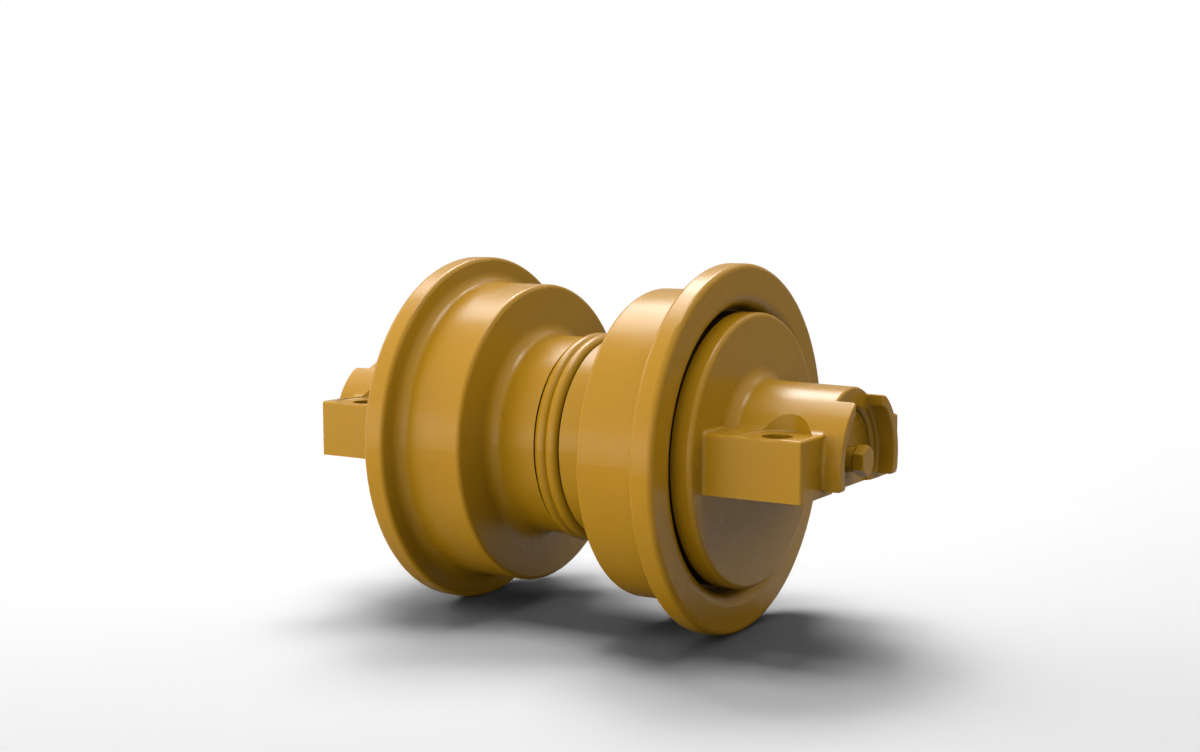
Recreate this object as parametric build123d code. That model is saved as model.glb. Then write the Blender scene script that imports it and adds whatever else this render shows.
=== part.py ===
from build123d import *
import math
import os

# Track roller with a single flange on each rim, for the lower run of a crawler track.
# Millimetres. The roller turns about Y, the mounting seats face -Z, and the origin is the
# middle of the axis. Stations are distances from the middle along +Y; the -Y end mirrors them.

# Shell: two forged halves, friction welded at the middle
shell_width = 238.3  # across the outboard faces of the two flanges
flange_diameter = 262.8
flange_thickness = 17.2
tread_diameter = 224.0
tread_width = 53.3
shell_wall = 14.7  # round the oil cavity, under the neck
flange_outer_rounding = 4.0
flange_inner_rounding = 3.0
flange_root_fillet = 8.0
tread_rounding = 3.1
neck_fillet = 9.0
mouth_depth = 22.6  # recess that takes the collar's disc
mouth_rounding = 15.0
weld_bead_height = 3.6  # crest of the weld bead above the neck
weld_bead_section = 5.0  # radius of the bead's round section
weld_bead_pitch = 8.8  # between the two crests
weld_slit_width = 1.4
weld_slit_depth = 2.2
inner_bead_height = 2.5
inner_bead_length = 3.0  # at its crest, on each side of the weld

# Shaft
journal_diameter = 75.0
shaft_end_diameter = 70.0
thrust_collar_width = 16.0  # in the middle, between the two bushings
thrust_collar_margin = 1.0  # stands proud of the bushing flanges
shaft_recess = 3.1  # shaft end inside the hub's end face
shaft_bevel = 0.6
flat_setback = 1.5  # the flat under each end starts this far past the collar's disc
oil_bore_diameter = 8.0
oil_bore_reach = 45.0  # from the middle to each cross bore
cross_bore_diameter = 6.0

# Bushings, with a thrust flange each
bushing_wall = 5.0
bushing_flange_width = 8.0
bushing_flange_thickness = 5.0
bushing_setback = 6.0  # bushing end to the floor of the seal housing
oil_groove_width = 6.0
oil_groove_depth = 1.5
oil_groove_length = 46.0
thrust_groove_count = 4

# Face seals: on each side two metal rings, each held by a round rubber ring
seal_clearance = 6.0  # between the collar's boss and the metal rings
seal_ring_width = 14.0
seal_ring_length = 12.0
seal_band_width = 5.0  # running band, at the outer edge of the face
seal_band_relief = 0.6
seal_lip_thickness = 3.4
seal_ramp_height = 7.0  # ramp over the ring's bore, at the middle of the rubber ring
seal_ramp_angle = 15.0
seal_housing_depth = 14.0
seal_recess = 1.5  # metal faces past the mouth of their housing
rubber_thickness = 7.8  # squeezed between the two ramps
rubber_length = 7.0
rubber_bevel = 2.0
rubber_offset = 8.0  # middle of the rubber ring from the seal face
o_ring_section = 3.0
o_ring_offset = 16.0  # from the shaft's shoulder
o_ring_side_play = 0.6

# End collars
disc_diameter = 195.0
disc_stand_out = 10.4  # disc face past the flange face
disc_rounding = 3.3
disc_rim_wall = 8.0
disc_wall = 13.5
boss_wall = 9.0
boss_recess = 2.0  # boss face past the disc's inner face
pocket_wall = 7.0
pocket_draft = 3.0  # each side wall leans in by this much at the floor
edge_bevel = 1.0
bore_chamfer = 2.0
hub_length = 71.8
hub_end_diameter = 98.8  # at the tip of the guard rim
hub_draft = 1.0
hub_root_fillet = 10.0
rim_length = 13.4  # guard rim past the hub's end face
rim_inner_diameter = 84.6
rim_rounding = 1.2
rim_corner_rounding = 3.0  # where the rim stops at the notch and over the seat
rim_root_fillet = 2.5
rim_notch_width = 47.6  # open over the plug
rim_end_height = 15.0  # the rim stops this far under the axis
seat_drop = 18.7  # seat plane under the axis
ear_margin = 20.75  # from the middle of a bolt hole to the ear's side
ear_height = 41.3
ear_rounding = 2.0
ear_hub_fillet = 6.0
ear_disc_fillet = 2.5
bolt_spacing = 120.5  # across the axis
bolt_inset = 44.6  # from the disc face
bolt_hole_diameter = 21.0
spot_face_diameter = 46.0
spot_face_depth = 1.2
spot_face_fillet = 2.0

# Collar pins, driven up through the shaft from the seat side
pin_diameter = 10.0
pin_offset = 18.0  # from the middle plane
pin_inset = 20.0  # from the disc face
pin_sink = 1.0
pin_reach = 38.0  # pin's top above the axis

# Oil plug in the +Y end of the shaft
plug_across_flats = 18.8
plug_head_height = 7.8
plug_neck_length = 7.4
plug_shank_diameter = 17.4
plug_undercut_width = 1.2  # under the head
plug_undercut_depth = 1.3
plug_shank_depth = 18.0
plug_land_length = 6.0
plug_chamfer = 1.0  # depth at the head's corners
plug_chamfer_angle = 25.0

# Clearances
bushing_clearance = 0.06  # radial, at the journal
end_play = 0.3  # each side of the thrust collar
running_gap = 3.4  # disc rim to the shell's mouth
seal_face_gap = 0.1
fit_gap = 0.05  # between pieces that are pressed or located together
plug_gap = 0.3
cut_margin = 5.0  # how far a cutting body reaches past what it cuts
wall_share = 0.45  # most of a wall that one rounding may take up
pick_margin = 0.01  # for picking edges by their position

# Radii, worked out from the shaft outwards
journal_radius = journal_diameter / 2
shaft_end_radius = shaft_end_diameter / 2
collar_bore_radius = shaft_end_radius + fit_gap
bushing_outer_radius = journal_radius + bushing_clearance + bushing_wall
bushing_flange_radius = bushing_outer_radius + bushing_flange_width
thrust_collar_radius = bushing_flange_radius + thrust_collar_margin
cavity_radius = thrust_collar_radius + inner_bead_height + bushing_wall
neck_radius = cavity_radius + shell_wall
tread_radius = tread_diameter / 2
flange_radius = flange_diameter / 2
disc_radius = disc_diameter / 2
mouth_radius = disc_radius + running_gap
boss_radius = shaft_end_radius + boss_wall
seal_inner_radius = boss_radius + seal_clearance
seal_outer_radius = seal_inner_radius + seal_ring_width
seal_ramp_radius = seal_inner_radius + seal_ramp_height
ramp_slope = math.tan(math.radians(seal_ramp_angle))
rubber_gap = fit_gap / math.cos(math.radians(seal_ramp_angle))
rubber_height = rubber_thickness / math.cos(math.radians(seal_ramp_angle))
housing_ramp_radius = seal_ramp_radius + rubber_height + 2 * rubber_gap
housing_mouth_radius = housing_ramp_radius + (rubber_offset - seal_recess) * ramp_slope
housing_floor_radius = housing_ramp_radius - (seal_housing_depth - rubber_offset) * ramp_slope
pocket_inner_radius = housing_mouth_radius + pocket_wall
pocket_outer_radius = disc_radius - disc_rim_wall
rim_inner_radius = rim_inner_diameter / 2

# Stations, worked out from the middle outwards
shell_end = shell_width / 2
flange_start = shell_end - flange_thickness
tread_start = flange_start - tread_width
mouth_floor = shell_end - mouth_depth
seal_station = mouth_floor + seal_recess
housing_floor = seal_station - seal_housing_depth
thrust_collar_face = thrust_collar_width / 2
bushing_start = thrust_collar_face + end_play
bushing_flange_seat = bushing_start + bushing_flange_thickness
bushing_end = housing_floor - bushing_setback
disc_inner_face = seal_station + seal_recess
boss_face = disc_inner_face + boss_recess
o_ring_station = boss_face + o_ring_offset
disc_face = shell_end + disc_stand_out
hub_end = disc_face + hub_length
rim_end = hub_end + rim_length
shaft_end = hub_end - shaft_recess
bolt_station = disc_face + bolt_inset
ear_reach = bolt_spacing / 2 + ear_margin
pin_station = disc_face + pin_inset
plug_head_back = shaft_end + plug_neck_length

# Heights
seat_height = -seat_drop
ear_top = seat_height + ear_height
spot_face_height = ear_top - spot_face_depth


def rounded(corners):
    """Roundings of a closed outline's corners, each held back where a wall is short."""
    held = []
    for index, (radius, station, rounding) in enumerate(corners):
        corner = Vector(radius, station)
        before = Vector(*corners[index - 1][:2]) - corner
        after = Vector(*corners[(index + 1) % len(corners)][:2]) - corner
        half_angle = math.radians(before.get_angle(after)) / 2
        room = wall_share * min(before.length, after.length)
        held.append(min(rounding, room * math.tan(half_angle)))
    return held


def section(corners):
    """Face in the XY plane from corners given as radius, station and rounding."""
    points = [(radius, station) for radius, station, rounding in corners]
    return make_face(FilletPolyline(*points, radius=rounded(corners), close=True))


def turned(corners):
    return revolve(section(corners), Axis.Y)


def bevelled(corners):
    """Solid of revolution from corners given as radius, station and flat bevel."""
    outline = []
    for index, (radius, station, bevel) in enumerate(corners):
        corner = Vector(radius, station)
        for other in (corners[index - 1], corners[(index + 1) % len(corners)]):
            side = Vector(*other[:2]) - corner
            outline.append(corner + side.normalized() * min(bevel, wall_share * side.length))
    distinct = [point for point, last in zip(outline, outline[-1:] + outline) if point != last]
    return revolve(make_face(Polyline(*distinct, close=True)), Axis.Y)


def band(inner_radius, outer_radius, start, end):
    """Plain tube between two stations."""
    return turned([
        (inner_radius, start, 0),
        (outer_radius, start, 0),
        (outer_radius, end, 0),
        (inner_radius, end, 0),
    ])


def upright_hole(x, y, low, high, diameter):
    return Pos(x, y, (low + high) / 2) * Cylinder(diameter / 2, high - low)


def axial_hole(start, end, diameter):
    return Pos(0, (start + end) / 2, 0) * Rot(90, 0, 0) * Cylinder(diameter / 2, end - start)


def block(x_range, y_range, z_range):
    """Box between two values on each axis."""
    sizes = [high - low for low, high in (x_range, y_range, z_range)]
    middles = [(high + low) / 2 for low, high in (x_range, y_range, z_range)]
    return Pos(*middles) * Box(*sizes)


def weld_bead():
    """One half's curl of friction-weld upset, cut off flat at the weld plane."""
    middle_radius = neck_radius + weld_bead_height - weld_bead_section
    bead = Pos(middle_radius, weld_bead_pitch / 2) * Circle(weld_bead_section)
    other_half = Pos(middle_radius, -tread_width / 2) * Rectangle(neck_radius, tread_width)
    return revolve(bead - other_half, Axis.Y)


def shell_half():
    """Rim with tread and flange, neck, oil cavity, bushing seat and seal housing."""
    body = turned([
        (cavity_radius - inner_bead_height, 0, 0),
        (neck_radius, 0, 0),
        (neck_radius, tread_start, neck_fillet),
        (tread_radius, tread_start, tread_rounding),
        (tread_radius, flange_start, flange_root_fillet),
        (flange_radius, flange_start, flange_inner_rounding),
        (flange_radius, shell_end, flange_outer_rounding),
        (mouth_radius, shell_end, mouth_rounding),
        (mouth_radius, mouth_floor, 0),
        (housing_mouth_radius, mouth_floor, 0),
        (housing_floor_radius, housing_floor, 0),
        (bushing_outer_radius + fit_gap, housing_floor, 0),
        (bushing_outer_radius + fit_gap, bushing_flange_seat, 0),
        (cavity_radius, bushing_flange_seat, 0),
        (cavity_radius, inner_bead_length + inner_bead_height, 0),
        (cavity_radius - inner_bead_height, inner_bead_length, 0),
    ])
    slit_start = weld_bead_pitch / 2 + weld_bead_section
    slit = band(
        neck_radius - weld_slit_depth,
        neck_radius + cut_margin,
        slit_start - weld_bead_section / 2,
        slit_start + weld_slit_width,
    )
    return body - slit + weld_bead()


def bushing():
    """Plain bushing with a thrust flange, oil grooves in the bore and over the flange."""
    bore_radius = journal_radius + bushing_clearance
    body = bevelled([
        (bore_radius, bushing_start, edge_bevel),
        (bushing_flange_radius, bushing_start, edge_bevel),
        (bushing_flange_radius, bushing_flange_seat, 0),
        (bushing_outer_radius, bushing_flange_seat, 0),
        (bushing_outer_radius, bushing_end, edge_bevel),
        (bore_radius, bushing_end, edge_bevel),
    ])
    middle = (bushing_flange_seat + bushing_end) / 2
    groove = block(
        (-bore_radius - oil_groove_depth, bore_radius + oil_groove_depth),
        (middle - oil_groove_length / 2, middle + oil_groove_length / 2),
        (-oil_groove_width / 2, oil_groove_width / 2),
    )
    body -= groove
    for index in range(thrust_groove_count):
        slot = block(
            (0, bushing_flange_radius + cut_margin),
            (bushing_start - cut_margin, bushing_start + oil_groove_depth),
            (-oil_groove_width / 2, oil_groove_width / 2),
        )
        body -= Rot(0, 360 * (index + 0.5) / thrust_groove_count, 0) * slot
    return body


def seal_ring(side):
    """Metal face-seal ring; side is -1 inboard of the seal face and 1 outboard of it."""
    def station(distance):
        return seal_station + side * distance

    face = seal_face_gap / 2
    lip_end = face + seal_lip_thickness
    back = face + seal_ring_length
    ramp_top = seal_ramp_radius + (rubber_offset - lip_end) * ramp_slope
    ramp_foot = seal_ramp_radius - (back - rubber_offset) * ramp_slope
    return bevelled([
        (seal_inner_radius, station(face + seal_band_relief), 0),
        (seal_outer_radius - seal_band_width, station(face), 0),
        (seal_outer_radius, station(face), 0),
        (seal_outer_radius, station(lip_end), edge_bevel),
        (ramp_top, station(lip_end), 0),
        (ramp_foot, station(back), edge_bevel),
        (seal_inner_radius, station(back), edge_bevel),
    ])


def rubber_ring(side):
    """Rubber ring squeezed flat between the ramps of the metal ring and of its housing."""
    corners = []
    for ramp_radius in (seal_ramp_radius + rubber_gap, housing_ramp_radius - rubber_gap):
        for distance in (-rubber_length / 2, rubber_length / 2):
            radius = ramp_radius - distance * ramp_slope
            station = seal_station + side * (rubber_offset + distance)
            corners.append((radius, station, rubber_bevel))
    inner_near, inner_far, outer_near, outer_far = corners
    return bevelled([inner_near, inner_far, outer_far, outer_near])


def o_ring():
    """Round rubber ring in the shaft's groove, inside the collar's bore."""
    middle_radius = collar_bore_radius - fit_gap - o_ring_section / 2
    return revolve(Pos(middle_radius, o_ring_station) * Circle(o_ring_section / 2), Axis.Y)


def edges_at(body, axis, value):
    """Edges whose middle is at a value on an axis."""
    return body.edges().filter_by_position(axis, value - pick_margin, value + pick_margin)


def hub_radius(station):
    """Radius of the drafted hub, which runs on into the guard rim."""
    slope = math.tan(math.radians(hub_draft))
    return hub_end_diameter / 2 + (rim_end - station) * slope


def below_seat():
    """Space under the seat plane, outboard of the disc."""
    return block(
        (-disc_radius, disc_radius),
        (disc_face, rim_end + cut_margin),
        (-disc_radius, seat_height),
    )


def disc():
    """Disc with the boss, the seal housing and the cored pocket in its inner side."""
    collar_housing_floor = seal_station + seal_housing_depth
    pocket_floor = disc_face - disc_wall
    return turned([
        (0, boss_face, 0),
        (boss_radius, boss_face, 0),
        (boss_radius, collar_housing_floor, 0),
        (housing_floor_radius, collar_housing_floor, 0),
        (housing_mouth_radius, disc_inner_face, 0),
        (pocket_inner_radius, disc_inner_face, 0),
        (pocket_inner_radius + pocket_draft, pocket_floor, 0),
        (pocket_outer_radius - pocket_draft, pocket_floor, 0),
        (pocket_outer_radius, disc_inner_face, 0),
        (disc_radius, disc_inner_face, 0),
        (disc_radius, disc_face, disc_rounding),
        (0, disc_face, 0),
    ])


def saddle():
    """Hub and bolt ears in one, filleted where they meet and rounded at their outer edges."""
    start = disc_face - disc_wall / 2
    hub = turned([
        (0, start, 0),
        (hub_radius(start), start, 0),
        (hub_radius(hub_end), hub_end, 0),
        (0, hub_end, 0),
    ])
    ears = block((-ear_reach, ear_reach), (start, hub_end), (seat_height, ear_top))
    body = hub + ears
    long_lines = edges_at(body, Axis.Z, ear_top).filter_by(
        lambda edge: edge.bounding_box().size.Y > hub_length
    )
    hub_lines = long_lines.filter_by_position(
        Axis.X, ear_rounding - ear_reach, ear_reach - ear_rounding
    )
    body = fillet(hub_lines, ear_hub_fillet) - below_seat()
    end_lines = edges_at(body, Axis.Y, hub_end).filter_by_position(
        Axis.Z, seat_height + ear_rounding, disc_radius
    )
    side_lines = edges_at(body, Axis.X, ear_reach) + edges_at(body, Axis.X, -ear_reach)
    top_lines = side_lines.filter_by_position(
        Axis.Z, ear_top - pick_margin, ear_top + pick_margin
    )
    return fillet(end_lines + top_lines, ear_rounding)


def hub_root():
    """Broad fillet at the foot of the hub."""
    reach = hub_radius(disc_face) + 2 * hub_root_fillet
    start = disc_face - disc_wall / 2
    end = disc_face + hub_length / 2
    return turned([
        (shaft_end_radius, start, 0),
        (reach, start, 0),
        (reach, disc_face, 0),
        (hub_radius(disc_face), disc_face, hub_root_fillet),
        (hub_radius(end), end, 0),
        (shaft_end_radius, end, 0),
    ]) - below_seat()


def guard_rim():
    """Rim round the plug, open at the top and over the seat, with rounded ends."""
    foot = hub_end - ear_rounding - rim_root_fillet
    foot_radius = rim_inner_radius - 2 * rim_root_fillet
    body = turned([
        (foot_radius, foot, 0),
        (hub_radius(foot), foot, 0),
        (hub_radius(rim_end), rim_end, 0),
        (rim_inner_radius, rim_end, 0),
        (rim_inner_radius, hub_end, rim_root_fillet),
        (foot_radius, hub_end, 0),
    ])
    half_notch = rim_notch_width / 2
    whole_rim = (disc_face, rim_end + cut_margin)
    body -= block((-half_notch, half_notch), whole_rim, (0, disc_radius))
    body -= block((-disc_radius, disc_radius), whole_rim, (-disc_radius, -rim_end_height))
    body = fillet(edges_at(body, Axis.Y, rim_end).filter_by(GeomType.LINE), rim_corner_rounding)
    free_edges = body.edges().filter_by_position(
        Axis.Y, hub_end + rim_root_fillet, rim_end + pick_margin
    )
    across_wall = free_edges.filter_by(GeomType.LINE).filter_by(
        lambda edge: edge.bounding_box().size.Y < pick_margin
    )
    return fillet(free_edges - across_wall, rim_rounding)


def rim_skirt():
    """Fillet where the guard rim rises from the ears' end faces."""
    inner_radius = hub_radius(rim_end) - rim_root_fillet
    reach = hub_radius(hub_end) + 2 * rim_root_fillet
    body = turned([
        (inner_radius, hub_end - rim_root_fillet, 0),
        (reach, hub_end - rim_root_fillet, 0),
        (reach, hub_end, 0),
        (hub_radius(hub_end), hub_end, rim_root_fillet),
        (hub_radius(hub_end + rim_length / 2), hub_end + rim_length / 2, 0),
        (inner_radius, hub_end + rim_length / 2, 0),
    ])
    return body & block(
        (-disc_radius, disc_radius),
        (0, rim_end),
        (-rim_end_height + ear_rounding, ear_top - ear_rounding),
    )


def bore_cutter():
    """Through bore for the shaft end, chamfered at both mouths."""
    radius = collar_bore_radius
    return turned([
        (0, boss_face - bore_chamfer, 0),
        (radius + 2 * bore_chamfer, boss_face - bore_chamfer, 0),
        (radius, boss_face + bore_chamfer, 0),
        (radius, hub_end - bore_chamfer, 0),
        (radius + 2 * bore_chamfer, hub_end + bore_chamfer, 0),
        (0, hub_end + bore_chamfer, 0),
    ])


def spot_face_cutter(x):
    """Flat seat for a bolt head, with a filleted floor, and the bolt hole through the ear."""
    face = upright_hole(x, bolt_station, spot_face_height, disc_radius, spot_face_diameter)
    floor_edge = face.edges().group_by(Axis.Z)[0]
    face = fillet(floor_edge, spot_face_fillet)
    hole = upright_hole(x, bolt_station, -disc_radius, disc_radius, bolt_hole_diameter)
    return face + hole


def pin_hole():
    return upright_hole(pin_offset, pin_station, -disc_radius, pin_reach, pin_diameter)


def end_collar():
    """Casting with the disc, the hub, two bolt ears and the guard rim, then its machining."""
    body = disc() + saddle()
    foot_edges = edges_at(body, Axis.Y, disc_face).filter_by(
        lambda edge: edge.center().Z > seat_height + pick_margin and edge.length < disc_diameter
    )
    room = disc_radius - disc_rounding - math.hypot(ear_reach, ear_top)
    body = fillet(foot_edges, min(ear_disc_fillet, wall_share * room))
    body = body + hub_root() + guard_rim() + rim_skirt()
    body -= bore_cutter()
    body -= spot_face_cutter(bolt_spacing / 2)
    body -= spot_face_cutter(-bolt_spacing / 2)
    body -= pin_hole()
    return body


def shaft_outline():
    """Corners of the turned shaft on the +Y side, with the groove for the rubber seal."""
    groove_start = o_ring_station - o_ring_section / 2 - o_ring_side_play
    groove_end = o_ring_station + o_ring_section / 2 + o_ring_side_play
    groove_radius = shaft_end_radius - o_ring_section
    return [
        (thrust_collar_radius, thrust_collar_face, shaft_bevel),
        (journal_radius, thrust_collar_face, 0),
        (journal_radius, boss_face, shaft_bevel),
        (shaft_end_radius, boss_face, 0),
        (shaft_end_radius, groove_start, 0),
        (groove_radius, groove_start, 0),
        (groove_radius, groove_end, 0),
        (shaft_end_radius, groove_end, 0),
        (shaft_end_radius, shaft_end, shaft_bevel),
        (0, shaft_end, 0),
    ]


def flat_cutter():
    """Removes the shaft's end below the seat plane, so that it ends level with the seat."""
    return block(
        (-disc_radius, disc_radius),
        (disc_face + flat_setback, rim_end),
        (-disc_radius, seat_height),
    )


def shaft():
    """Through shaft with the thrust collar, flats, pin holes, oil bore and plug hole."""
    outline = shaft_outline()
    mirrored = [(radius, -station, rounding) for radius, station, rounding in reversed(outline)]
    body = bevelled(mirrored + outline)
    for cutter in (flat_cutter(), pin_hole()):
        body = body - cutter - mirror(cutter, Plane.XZ)
    body -= axial_hole(-oil_bore_reach - cross_bore_diameter, shaft_end, oil_bore_diameter)
    plug_hole_diameter = plug_shank_diameter + 2 * plug_gap
    plug_hole_floor = shaft_end - plug_shank_depth - plug_gap
    body -= axial_hole(plug_hole_floor, shaft_end + cut_margin, plug_hole_diameter)
    for station in (-oil_bore_reach, oil_bore_reach):
        body -= upright_hole(0, station, -disc_radius, disc_radius, cross_bore_diameter)
    return body


def collar_pin():
    """Straight pin with bevelled ends that keeps the shaft from turning in the collar."""
    low = seat_height + pin_sink
    high = pin_reach - pin_sink
    body = upright_hole(pin_offset, pin_station, low, high, pin_diameter - 2 * fit_gap)
    return chamfer(body.edges().filter_by(GeomType.CIRCLE), pin_sink)


def oil_plug():
    """Hexagon-headed plug on a plain neck, pressed into the shaft by the land at its foot."""
    foot = shaft_end - plug_shank_depth
    land_end = foot + plug_land_length
    land_radius = plug_shank_diameter / 2 + plug_gap - fit_gap
    shank_radius = plug_shank_diameter / 2
    head_end = plug_head_back + plug_head_height
    undercut_radius = shank_radius - plug_undercut_depth
    undercut_start = plug_head_back - plug_undercut_width
    shank = bevelled([
        (0, foot, 0),
        (land_radius, foot, shaft_bevel),
        (land_radius, land_end, 0),
        (shank_radius, land_end, 0),
        (shank_radius, undercut_start, 0),
        (undercut_radius, undercut_start, 0),
        (undercut_radius, head_end - plug_chamfer, 0),
        (0, head_end - plug_chamfer, 0),
    ])
    corner_radius = plug_across_flats / math.sqrt(3)
    chamfer_run = plug_chamfer / math.tan(math.radians(plug_chamfer_angle))
    corners_up = RegularPolygon(plug_across_flats / 2, 6, major_radius=False, rotation=30)
    facing_out = Plane((0, plug_head_back, 0), x_dir=(1, 0, 0), z_dir=(0, 1, 0))
    prism = extrude(facing_out * corners_up, plug_head_height)
    crowned = turned([
        (0, plug_head_back, 0),
        (corner_radius, plug_head_back, 0),
        (corner_radius, head_end - plug_chamfer, 0),
        (corner_radius - chamfer_run, head_end, 0),
        (0, head_end, 0),
    ])
    return shank + (prism & crowned)


def write_parts():
    """One file for each piece; the paired ones are mirrored for the -Y side."""
    os.makedirs("parts", exist_ok=True)
    pieces = {"shaft": shaft(), "oil_plug": oil_plug()}
    paired = {
        "shell_half": shell_half(),
        "bushing": bushing(),
        "rotating_seal_ring": seal_ring(-1),
        "rotating_toric": rubber_ring(-1),
        "fixed_seal_ring": seal_ring(1),
        "fixed_toric": rubber_ring(1),
        "end_collar": end_collar(),
        "shaft_o_ring": o_ring(),
        "collar_pin": collar_pin(),
    }
    for name, piece in paired.items():
        pieces[f"{name}_right"] = piece
        pieces[f"{name}_left"] = mirror(piece, Plane.XZ)
    for name, piece in pieces.items():
        export_step(piece, f"parts/{name}.step")


write_parts()
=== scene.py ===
import math

import bpy
from mathutils import Color, Matrix, Vector

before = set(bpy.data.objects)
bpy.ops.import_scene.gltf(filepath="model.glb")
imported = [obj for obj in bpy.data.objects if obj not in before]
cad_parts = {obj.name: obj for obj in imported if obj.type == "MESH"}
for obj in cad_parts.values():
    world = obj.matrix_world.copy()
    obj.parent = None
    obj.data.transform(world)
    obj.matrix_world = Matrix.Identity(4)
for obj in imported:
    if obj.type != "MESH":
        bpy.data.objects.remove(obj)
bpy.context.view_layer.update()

WHITE = (1.0, 1.0, 1.0, 1.0)
UP = Vector((0.0, 0.0, 1.0))

# Camera: the photograph's view. Its place is in metres from the roller's middle, and it
# looks back from this azimuth and elevation, in degrees as for the soft boxes.
CAMERA_PLACE = (1.05514, 0.65944, 0.18322)
CAMERA_AZIMUTH = 31.4564
CAMERA_ELEVATION = 8.1599
CAMERA_YAW = -0.5866
CAMERA_PITCH = -1.8507
LENS = 50.744
SENSOR_WIDTH = 36.0
NEAREST = 0.01
FARTHEST = 50.0

# Soft boxes: degrees from +X towards +Y and above the horizon, width, height, watts.
# Fill boxes light the roller alone and don't show in its gloss. Key boxes light all.
FILL_BOXES = (
    (0, 4, 1.3, 0.7, 19.0),
    (30, 4, 1.3, 0.7, 9.0),
    (300, 4, 1.3, 0.7, 17.0),
    (330, 4, 1.3, 0.7, 22.0),
    (90, 32, 1.3, 1.3, 6.5),
    (90, 60, 1.0, 1.0, 6.0),
    (135, 32, 1.3, 1.3, 12.0),
    (315, 32, 1.3, 1.3, 5.0),
    (120, 55, 1.0, 1.0, 6.0),
)
KEY_BOXES = (
    (270, 32, 1.3, 1.3, 8.0),
    (0, 55, 1.0, 1.0, 2.0),
    (170, 45, 1.1, 1.1, 3.0),
    (210, 55, 0.9, 0.9, 26.0),
    (240, 55, 1.0, 1.0, 16.0),
    (270, 75, 1.0, 1.0, 6.5),
    (0, 90, 1.0, 1.0, 17.0),
)
BOX_DISTANCE = 2.6

# Surroundings in the paint's reflections: brightest at the front, dimmest behind
FRONT = (0.87, -0.50, 0.0)
MIRRORED_FRONT = 0.95
MIRRORED_BACK = 0.25
SURROUND = 0.04

# Floor: pale grey near the roller, gone into the white background further out
FLOOR_HEIGHT = -0.1314
FLOOR_HALF = 3.0
FLOOR_SEEN = 1.06
FLOOR_MIRRORED = 0.55
FLOOR_BOUNCE = 0.18
FLOOR_FADE_START = 0.45
FLOOR_FADE_END = 1.30

# Patterns: features per metre, detail, roughness, and the values that become 0 and 1
CLOUDS = (8.0, 3.0, 0.55, 0.30, 0.70)
MOTTLE = (60.0, 3.0, 0.5, 0.40, 0.75)
RUBBING = (140.0, 3.0, 0.6, 0.35, 0.65)
SHEEN = (30.0, 3.0, 0.6, 0.30, 0.70)
BLOOM = (45.0, 4.0, 0.6, 0.35, 0.70)
DUST = (90.0, 4.0, 0.65, 0.45, 0.75)
RUBBER_SHEEN = (220.0, 3.0, 0.6, 0.30, 0.70)

# Reliefs: features per metre, detail, roughness
PEEL = (800.0, 1.0, 0.5)
SKIN = (120.0, 2.0, 0.5)
RINGS = (60.0, 3.0, 0.6)
RUBBER_GRAIN = (1500.0, 2.0, 0.5)

# Paint: display colours of 0 to 255, shares of colour and roughness, heights in metres
OCHRE = (179, 130, 16)
BRIGHT_OCHRE = (186, 135, 19)
MOTTLED_OCHRE = (174, 125, 15)
RUBBED_OCHRE = (206, 158, 48)
# near-black brown for the painted shade in crevices and deep in the gap
SHADE_BROWN = (16, 12, 6)
PAINT_BOUNCE = (0.10, 0.10, 0.10, 1.0)  # linear, for light that the paint throws back
MOTTLE_SHARE = 0.12
RUBBED_SHARE = 0.30
RUBBED_GLOSS = 0.06
SHEEN_SWING = 0.03
CAST_PAINT = (0.00003, 0.29)  # height of the metal's skin, roughness
FINE_PAINT = (0.00002, 0.28)
SKIN_STRENGTH = 0.08
PEEL_HEIGHT = 0.00001
PEEL_STRENGTH = 0.12

# Edges: how far a bevel of this width turns the surface, as a cosine
EDGE_WIDTH = 0.0012
EDGE_NONE = 0.99
EDGE_FULL = 0.90
EDGE_SAMPLES = 4

# Crevices, for the painted shade: how much of the surroundings within reach is open
CREVICE_REACH = 0.004
CREVICE_FULL = 0.12
CREVICE_NONE = 0.40
CREVICE_SAMPLES = 8

# Painted shade in crevices, its darkness: in most places, in the shell's mouth and on
# the disc's side
DARKEST = 0.97
DARKEST_IN_MOUTH = 0.40
DISC_SIDE_SHARE = 0.3

# Places on the roller: the mouth and the part of the disc's side free of painted shade
# begin this far from the roller's middle, and the disc's side this far from its axis
MOUTH_FROM = 0.085
DISC_UNSHADED_FROM = 0.1142
DISC_SIDE_FROM = 0.094
FEATHER = 0.0005

# Metals: darkest and lightest linear colour, roughness, axis across the tool marks
GROUND_STEEL = ((0.44, 0.43, 0.42, 1.0), (0.60, 0.59, 0.57, 1.0), 0.28, "Z")
BRONZE = ((0.48, 0.29, 0.12, 1.0), (0.66, 0.44, 0.22, 1.0), 0.34, "Y")
LAPPED_IRON = ((0.24, 0.24, 0.25, 1.0), (0.36, 0.36, 0.37, 1.0), 0.24, "Y")
RING_STRETCH = 40.0
RING_TONES = (0.4, 0.8)
RING_SHARE = 0.4
RING_SHEEN = (0.3, 0.7)
RING_SMOOTHER = 0.06
RING_ROUGHER = 0.08
RING_HEIGHT = 0.00001
RING_STRENGTH = 0.4

# Rubber: linear colours, roughness, height in metres
CLEAN_RUBBER = (0.020, 0.020, 0.021, 1.0)
DUSTY_RUBBER = (0.045, 0.044, 0.042, 1.0)
RUBBER_ROUGHNESS = (0.55, 0.75)
RUBBER_HEIGHT = 0.00003
RUBBER_STRENGTH = 0.5


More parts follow.
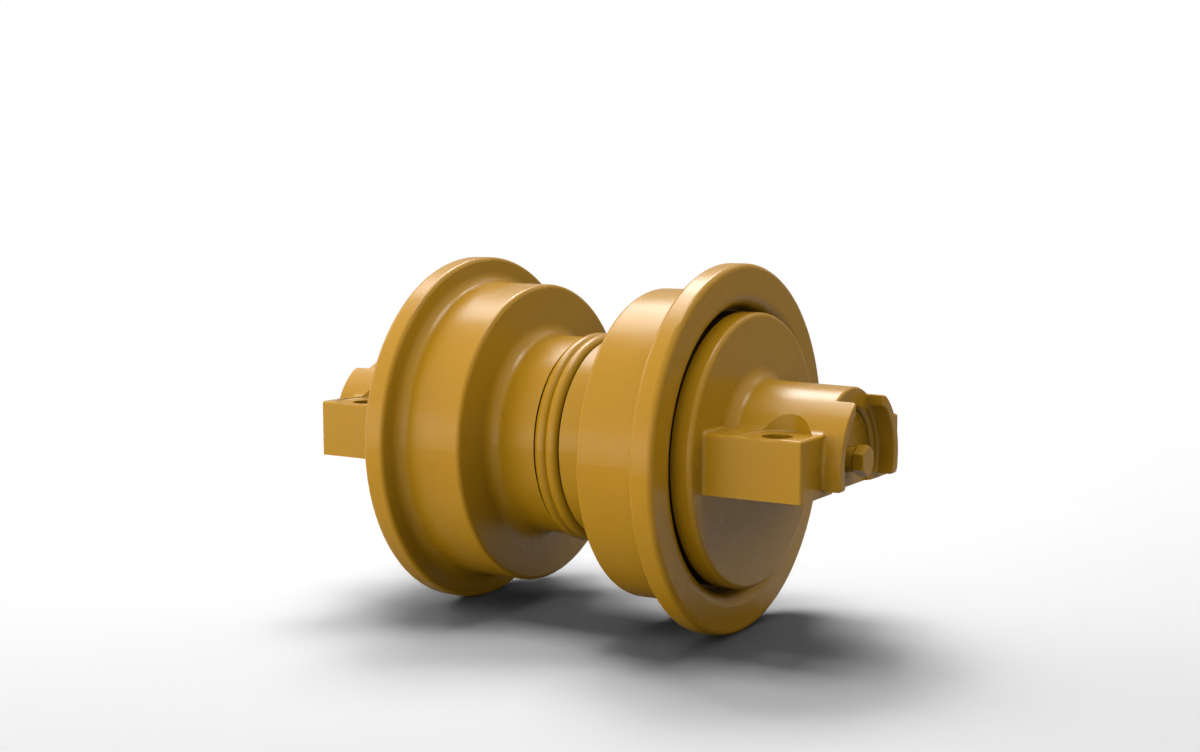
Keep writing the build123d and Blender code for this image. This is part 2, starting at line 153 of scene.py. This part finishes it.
class Graph:
    """Short calls for building a node tree."""

    def __init__(self, tree):
        self.tree = tree
        tree.nodes.clear()

    def node(self, kind, **settings):
        made = self.tree.nodes.new(kind)
        for key, value in settings.items():
            setattr(made, key, value)
        return made

    def feed(self, socket, value):
        """Links a socket to another, or sets its value."""
        if isinstance(value, bpy.types.NodeSocket):
            self.tree.links.new(value, socket)
        else:
            socket.default_value = value

    def vector(self, operation, a, b, output):
        made = self.node("ShaderNodeVectorMath", operation=operation)
        self.feed(made.inputs[0], a)
        if b is not None:
            self.feed(made.inputs[1], b)
        return made.outputs[output]

    def place(self):
        return self.node("ShaderNodeTexCoord").outputs["Object"]

    def stretched(self, stretch):
        return self.vector("MULTIPLY", self.place(), stretch, "Vector")

    def length(self, vector):
        return self.vector("LENGTH", vector, None, "Value")

    def dot(self, a, b):
        return self.vector("DOT_PRODUCT", a, b, "Value")

    def radius(self):
        """Distance from the roller's axis."""
        return self.length(self.stretched((1.0, 0.0, 1.0)))

    def depth(self):
        """Distance from the roller's middle, measured along its axis."""
        return self.length(self.stretched((0.0, 1.0, 0.0)))

    def noise(self, scale, detail, roughness, place=None):
        made = self.node("ShaderNodeTexNoise")
        self.feed(made.inputs["Vector"], self.place() if place is None else place)
        self.feed(made.inputs["Scale"], scale)
        self.feed(made.inputs["Detail"], detail)
        self.feed(made.inputs["Roughness"], roughness)
        return made.outputs["Fac"]

    def spread(self, value, low, high, to_low=0.0, to_high=1.0, smooth=False):
        """Moves the range from low to high onto the one from to_low to to_high."""
        made = self.node("ShaderNodeMapRange")
        if smooth:
            made.interpolation_type = "SMOOTHSTEP"
        self.feed(made.inputs["Value"], value)
        self.feed(made.inputs["From Min"], low)
        self.feed(made.inputs["From Max"], high)
        self.feed(made.inputs["To Min"], to_low)
        self.feed(made.inputs["To Max"], to_high)
        return made.outputs["Result"]

    def pattern(self, settings, to_low=0.0, to_high=1.0):
        *look, low, high = settings
        return self.spread(self.noise(*look), low, high, to_low, to_high)

    def step(self, value, limit, before=0.0, after=1.0):
        return self.spread(value, limit, limit + FEATHER, before, after)

    def math(self, operation, a, b):
        made = self.node("ShaderNodeMath", operation=operation)
        self.feed(made.inputs[0], a)
        self.feed(made.inputs[1], b)
        return made.outputs[0]

    def mix(self, factor, a, b):
        made = self.node("ShaderNodeMix", data_type="RGBA")
        self.feed(made.inputs["Factor"], factor)
        self.feed(made.inputs["A"], a)
        self.feed(made.inputs["B"], b)
        return made.outputs["Result"]

    def bump(self, relief, height, strength, normal=None):
        made = self.node("ShaderNodeBump")
        self.feed(made.inputs["Height"], relief)
        self.feed(made.inputs["Distance"], height)
        self.feed(made.inputs["Strength"], strength)
        if normal is not None:
            self.feed(made.inputs["Normal"], normal)
        return made.outputs["Normal"]

    def edges(self):
        """1 along convex and concave edges, 0 on plain surfaces."""
        bevel = self.node("ShaderNodeBevel", samples=EDGE_SAMPLES)
        self.feed(bevel.inputs["Radius"], EDGE_WIDTH)
        plain = self.node("ShaderNodeNewGeometry").outputs["Normal"]
        turn = self.dot(bevel.outputs["Normal"], plain)
        return self.spread(turn, EDGE_NONE, EDGE_FULL)

    def crevices(self):
        """1 deep in narrow gaps and grooves, 0 in the open and in plain corners."""
        around = self.node("ShaderNodeAmbientOcclusion", samples=CREVICE_SAMPLES)
        self.feed(around.inputs["Distance"], CREVICE_REACH)
        return self.spread(around.outputs["AO"], CREVICE_FULL, CREVICE_NONE, 1.0, 0.0)

    def surface(self, **inputs):
        made = self.node("ShaderNodeBsdfPrincipled")
        for name, value in inputs.items():
            self.feed(made.inputs[name.replace("_", " ")], value)
        output = self.node("ShaderNodeOutputMaterial")
        self.feed(output.inputs["Surface"], made.outputs["BSDF"])


def new_material(name):
    material = bpy.data.materials.new(name)
    material.use_nodes = True
    return material, Graph(material.node_tree)


def shade(display):
    """Linear colour from display values of 0 to 255."""
    linear = Color([value / 255 for value in display]).from_srgb_to_scene_linear()
    return (*linear, 1.0)


# Painted shade: darkens the paint in narrow gaps and grooves
def shade_in_crevices(g):
    return g.math("MULTIPLY", g.crevices(), DARKEST)


def shade_in_shell_crevices(g):
    """Painted shade: dark in the slits of the weld, and lighter in the open mouth."""
    darkest = g.step(g.depth(), MOUTH_FROM, DARKEST, DARKEST_IN_MOUTH)
    return g.math("MULTIPLY", g.crevices(), darkest)


def shade_on_disc_side(g):
    """Painted shade: dark deep in the gap on the disc's side, lighter where it stands
    out.
    """
    side = g.step(g.radius(), DISC_SIDE_FROM)
    inner = g.step(g.depth(), DISC_UNSHADED_FROM, DARKEST, 0.0)
    share = g.spread(side, 0.0, 1.0, 1.0, DISC_SIDE_SHARE)
    outer = g.math("MULTIPLY", shade_in_crevices(g), share)
    return g.math("MAXIMUM", outer, g.math("MULTIPLY", side, inner))


def ochre_paint(name, skin, roughness, dark):
    """Golden ochre over steel: skin is the height of the metal's unevenness, and dark
    says where painted shade darkens the paint."""
    material, g = new_material(name)
    base = g.mix(g.pattern(CLOUDS), shade(OCHRE), shade(BRIGHT_OCHRE))
    base = g.mix(g.pattern(MOTTLE, 0.0, MOTTLE_SHARE), base, shade(MOTTLED_OCHRE))
    rub = g.math("MULTIPLY", g.edges(), g.pattern(RUBBING))
    base = g.mix(g.math("MULTIPLY", rub, RUBBED_SHARE), base, shade(RUBBED_OCHRE))
    # Painted shade: the paint turns near-black brown where dark(g) says
    base = g.mix(dark(g), base, shade(SHADE_BROWN))
    satin = g.pattern(SHEEN, roughness - SHEEN_SWING, roughness + SHEEN_SWING)
    satin = g.math("SUBTRACT", satin, g.math("MULTIPLY", rub, RUBBED_GLOSS))
    normal = g.bump(g.noise(*PEEL), PEEL_HEIGHT, PEEL_STRENGTH)
    normal = g.bump(g.noise(*SKIN), skin, SKIN_STRENGTH, normal)
    bounced = g.node("ShaderNodeLightPath").outputs["Is Diffuse Ray"]
    base = g.mix(bounced, base, PAINT_BOUNCE)
    g.surface(Base_Color=base, Roughness=satin, Normal=normal)
    return material


def turned_metal(name, dark, light, roughness, along):
    """Machined metal: fine rings across the axis named by along, and a slight bloom."""
    material, g = new_material(name)
    stretch = tuple(RING_STRETCH if axis == along else 1.0 for axis in "XYZ")
    rings = g.noise(*RINGS, g.stretched(stretch))
    base = g.mix(g.pattern(BLOOM), dark, light)
    base = g.mix(g.spread(rings, *RING_TONES, 0.0, RING_SHARE), base, dark)
    smoothest = roughness - RING_SMOOTHER
    roughest = roughness + RING_ROUGHER
    rough = g.spread(rings, *RING_SHEEN, smoothest, roughest)
    marks = g.bump(rings, RING_HEIGHT, RING_STRENGTH)
    g.surface(Base_Color=base, Metallic=1.0, Roughness=rough, Normal=marks)
    return material


def seal_rubber(name):
    material, g = new_material(name)
    base = g.mix(g.pattern(DUST), CLEAN_RUBBER, DUSTY_RUBBER)
    rough = g.pattern(RUBBER_SHEEN, *RUBBER_ROUGHNESS)
    grain = g.bump(g.noise(*RUBBER_GRAIN), RUBBER_HEIGHT, RUBBER_STRENGTH)
    g.surface(Base_Color=base, Roughness=rough, Normal=grain)
    return material


def give(node, material):
    """Puts one material on every slot of a CAD node."""
    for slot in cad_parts[node].material_slots:
        slot.link = "OBJECT"
        slot.material = material


def finish_nodes():
    shell = ochre_paint("shell_paint", *CAST_PAINT, shade_in_shell_crevices)
    collar = ochre_paint("collar_paint", *CAST_PAINT, shade_on_disc_side)
    fine = ochre_paint("fine_paint", *FINE_PAINT, shade_in_crevices)
    ground = turned_metal("ground_steel", *GROUND_STEEL)
    bronze = turned_metal("bronze", *BRONZE)
    iron = turned_metal("lapped_iron", *LAPPED_IRON)
    rubber = seal_rubber("seal_rubber")
    pairs = {
        "shell_half": shell,
        "end_collar": collar,
        "collar_pin": ground,
        "bushing": bronze,
        "rotating_seal_ring": iron,
        "fixed_seal_ring": iron,
        "rotating_toric": rubber,
        "fixed_toric": rubber,
        "shaft_o_ring": rubber,
    }
    for piece, material in pairs.items():
        give(f"{piece}_right", material)
        give(f"{piece}_left", material)
    give("oil_plug", fine)
    give("shaft", fine)


def floor_material():
    material, g = new_material("floor_pale")
    path = g.node("ShaderNodeLightPath")
    seen = g.spread(path.outputs["Is Camera Ray"], 0.0, 1.0, FLOOR_BOUNCE, FLOOR_SEEN)
    mirrored = g.math("MULTIPLY", path.outputs["Is Glossy Ray"], FLOOR_MIRRORED)
    pale = g.node("ShaderNodeBsdfDiffuse")
    g.feed(pale.inputs["Color"], g.math("MAXIMUM", seen, mirrored))
    clear = g.node("ShaderNodeBsdfTransparent")
    reach = g.length(g.place())
    blend = g.node("ShaderNodeMixShader")
    fade = g.spread(reach, FLOOR_FADE_START, FLOOR_FADE_END, smooth=True)
    g.feed(blend.inputs["Fac"], fade)
    g.feed(blend.inputs[1], pale.outputs["BSDF"])
    g.feed(blend.inputs[2], clear.outputs["BSDF"])
    output = g.node("ShaderNodeOutputMaterial")
    g.feed(output.inputs["Surface"], blend.outputs["Shader"])
    return material


def add_floor():
    half = FLOOR_HALF
    corners = [
        (-half, -half, 0.0),
        (half, -half, 0.0),
        (half, half, 0.0),
        (-half, half, 0.0),
    ]
    mesh = bpy.data.meshes.new("floor")
    mesh.from_pydata(corners, [], [(0, 1, 2, 3)])
    mesh.materials.append(floor_material())
    floor = bpy.data.objects.new("floor", mesh)
    floor.location = (0.0, 0.0, FLOOR_HEIGHT)
    bpy.context.scene.collection.objects.link(floor)
    return floor


def direction(azimuth, elevation):
    """Unit vector from degrees: from +X towards +Y, and above the horizon."""
    turn = math.radians(azimuth)
    rise = math.radians(elevation)
    flat = math.cos(rise)
    return Vector((math.cos(turn) * flat, math.sin(turn) * flat, math.sin(rise)))


def add_soft_box(azimuth, elevation, width, height, watts):
    light = bpy.data.lights.new(f"soft_box_{azimuth}_{elevation}", "AREA")
    light.shape = "RECTANGLE"
    light.size = width
    light.size_y = height
    light.energy = watts
    lamp = bpy.data.objects.new(light.name, light)
    out = direction(azimuth, elevation)
    lamp.location = out * BOX_DISTANCE
    lamp.rotation_euler = (-out).to_track_quat("-Z", "Y").to_euler()
    bpy.context.scene.collection.objects.link(lamp)
    return lamp


def all_but(piece):
    """What a lamp lights when it is turned off for one piece."""
    lit = bpy.data.collections.new(f"all_but_{piece.name}")
    lit.objects.link(piece)
    lit.collection_objects[0].light_linking.link_state = "EXCLUDE"
    return lit


def add_studio(floor):
    lit = all_but(floor)
    for box in FILL_BOXES:
        lamp = add_soft_box(*box)
        lamp.light_linking.receiver_collection = lit
        lamp.visible_glossy = False
    for box in KEY_BOXES:
        add_soft_box(*box)


def add_background():
    """White behind everything, graded in reflections, and almost no light by itself."""
    world = bpy.data.worlds.new("studio")
    world.use_nodes = True
    g = Graph(world.node_tree)
    background = g.node("ShaderNodeBackground")
    g.feed(background.inputs["Color"], WHITE)
    path = g.node("ShaderNodeLightPath")
    towards = g.dot(g.node("ShaderNodeTexCoord").outputs["Generated"], FRONT)
    bright = g.spread(towards, -1.0, 1.0, MIRRORED_BACK, MIRRORED_FRONT)
    mirrored = g.math("MULTIPLY", path.outputs["Is Glossy Ray"], bright)
    strength = g.math("MAXIMUM", path.outputs["Is Camera Ray"], mirrored)
    strength = g.math("MAXIMUM", strength, SURROUND)
    g.feed(background.inputs["Strength"], strength)
    output = g.node("ShaderNodeOutputWorld")
    g.feed(output.inputs["Surface"], background.outputs["Background"])
    bpy.context.scene.world = world


def add_camera():
    """The fitted view: azimuth and elevation, then a small yaw and pitch."""
    data = bpy.data.cameras.new("camera")
    data.lens = LENS
    data.sensor_width = SENSOR_WIDTH
    data.sensor_fit = "HORIZONTAL"
    data.clip_start = NEAREST
    data.clip_end = FARTHEST
    camera = bpy.data.objects.new("camera", data)
    back = direction(CAMERA_AZIMUTH, CAMERA_ELEVATION)
    right = UP.cross(back).normalized()
    looking = Matrix((right, back.cross(right), back))
    pitch = Matrix.Rotation(math.radians(CAMERA_PITCH), 3, "X")
    yaw = Matrix.Rotation(math.radians(CAMERA_YAW), 3, "Y")
    camera.rotation_euler = (pitch @ yaw @ looking).transposed().to_euler()
    camera.location = CAMERA_PLACE
    bpy.context.scene.collection.objects.link(camera)
    bpy.context.scene.camera = camera


finish_nodes()
add_studio(add_floor())
add_background()
add_camera()
bpy.context.scene.view_settings.view_transform = "Standard"
